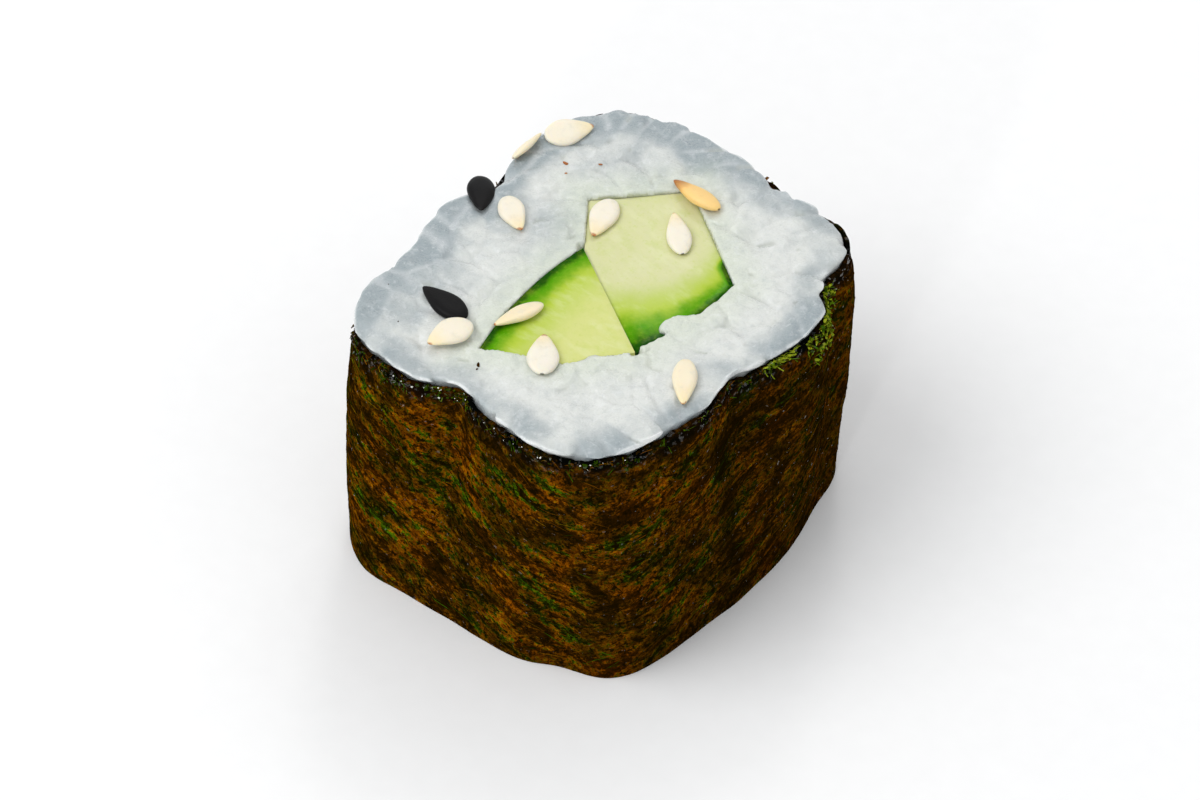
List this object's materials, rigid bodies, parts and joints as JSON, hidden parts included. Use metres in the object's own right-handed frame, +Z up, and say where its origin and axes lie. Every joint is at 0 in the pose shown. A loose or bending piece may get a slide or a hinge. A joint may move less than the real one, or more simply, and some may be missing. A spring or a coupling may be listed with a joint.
{
  "type": "cucumber maki roll",
  "caption": "Short slice of a squarish thin sushi roll: nori wrapped round pressed rice, with two cucumber batons running through.",
  "frame": {"origin": "middle of the base, on the plane that the lower cut face rests on", "axes": "+Z up through the two cut faces, +Y along the longer way across, +X along the shorter way across"},
  "size_m": [0.0259, 0.0303, 0.02],
  "materials": {
    "nori": "dry pressed seaweed, fibrous, faint sheen",
    "rice": "moist translucent cooked grains",
    "cucumber": "moist cut flesh with green rind",
    "sesame": "dry seeds, raw, toasted and black"
  },
  "bodies": {
    "root": {"nori": "nori", "rice": "rice", "cucumber_left": "cucumber", "cucumber_right": "cucumber"}
  },
  "joints": []
}
